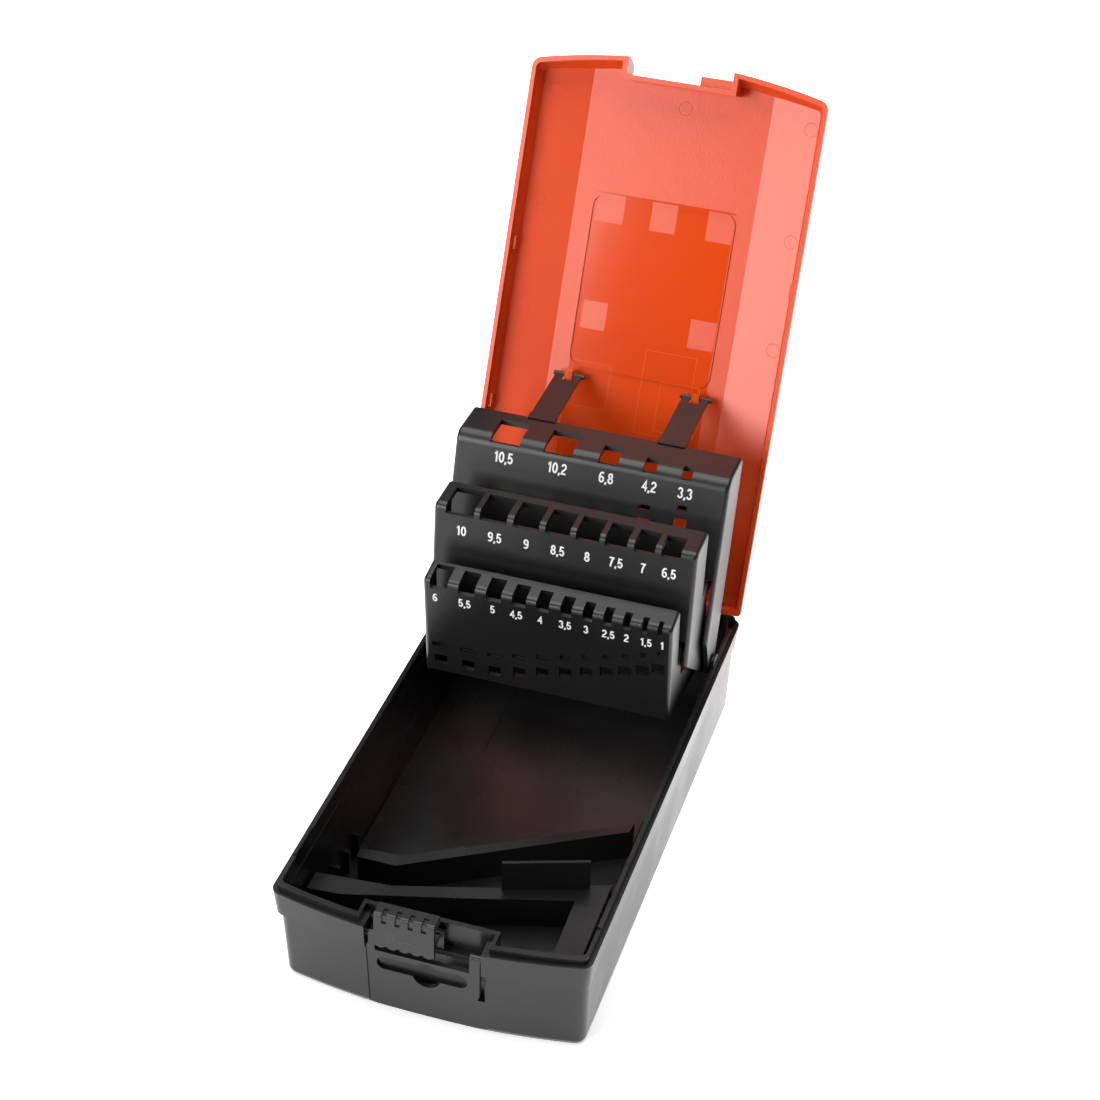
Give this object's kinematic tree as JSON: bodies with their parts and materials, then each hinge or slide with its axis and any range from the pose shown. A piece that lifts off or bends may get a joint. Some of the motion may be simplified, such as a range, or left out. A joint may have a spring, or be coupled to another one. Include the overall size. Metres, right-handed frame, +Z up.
{
  "type": "drill bit case",
  "caption": "Flat hinged case that holds twist drills by size in perforated holders, which fold up in steps as the lid opens.",
  "frame": {"origin": "centre of the tray's underside, midway between its side walls and between the corners of its belt", "axes": "+X to the right seen from the latch side, +Y back towards the lid's hinge, +Z up out of the tray"},
  "size_m": [0.112, 0.2856, 0.2279],
  "materials": {
    "tray_black": "satin moulded",
    "holder_black": "satin moulded",
    "trim_black": "smooth moulded",
    "strap_black": "flexible, satin",
    "lid_orange": "glossy, slightly translucent",
    "pin_steel": "drawn",
    "pin_black": "satin moulded"
  },
  "bodies": {
    "base": {"base_tray": "tray_black", "hinge_pin_left": "pin_steel", "hinge_pin_right": "pin_steel", "pivot_pin_left": "pin_black", "pivot_pin_right": "pin_black"},
    "lid": {"lid": "lid_orange"},
    "rear_holder": {"holder_rear": "holder_black"},
    "middle_holder": {"holder_middle": "holder_black"},
    "front_holder": {"holder_front": "holder_black"},
    "left_strap": {"strap_left": "strap_black"},
    "right_strap": {"strap_right": "strap_black"},
    "latch": {"latch_slider": "trim_black"},
    "hanger": {"hanger": "trim_black"}
  },
  "joints": [
    {"name": "lid_hinge", "type": "hinge", "parent": "base", "child": "lid", "pos_m": [0, 0.09385, 0.04624], "axis": [1, 0, 0], "range_deg": [0, 115]},
    {"name": "rear_holder_hinge", "type": "hinge", "parent": "base", "child": "rear_holder", "pos_m": [0, 0.0662, 0.0428], "axis": [1, 0, 0], "range_deg": [0, 106.6]},
    {"name": "middle_holder_hinge", "type": "hinge", "parent": "base", "child": "middle_holder", "pos_m": [0, 0.0662, 0.0428], "axis": [1, 0, 0], "range_deg": [0, 95.1]},
    {"name": "front_holder_hinge", "type": "hinge", "parent": "base", "child": "front_holder", "pos_m": [0, 0.0662, 0.0428], "axis": [1, 0, 0], "range_deg": [0, 85.5]},
    {"name": "left_strap_hinge", "type": "hinge", "parent": "lid", "child": "left_strap", "pos_m": [-0.0248, 0.12642, 0.11689], "axis": [1, 0, 0], "range_deg": [-115.1, 0]},
    {"name": "right_strap_hinge", "type": "hinge", "parent": "lid", "child": "right_strap", "pos_m": [0.0248, 0.12642, 0.11689], "axis": [1, 0, 0], "range_deg": [-115.1, 0]},
    {"name": "latch_slide", "type": "slide", "parent": "base", "child": "latch", "axis": [1, 0, 0], "range_m": [0, 0.011]},
    {"name": "hanger_hinge", "type": "hinge", "parent": "base", "child": "hanger", "pos_m": [0, -0.1009, 0.0362], "axis": [-1, 0, 0], "range_deg": [0, 90]}
  ],
  "couplings": [
    {"joint": "rear_holder_hinge", "follows": "lid_hinge", "ratio": 0.92609},
    {"joint": "middle_holder_hinge", "follows": "lid_hinge", "ratio": 0.82609},
    {"joint": "front_holder_hinge", "follows": "lid_hinge", "ratio": 0.74261},
    {"joint": "left_strap_hinge", "follows": "lid_hinge", "ratio": -1},
    {"joint": "right_strap_hinge", "follows": "lid_hinge", "ratio": -1}
  ]
}
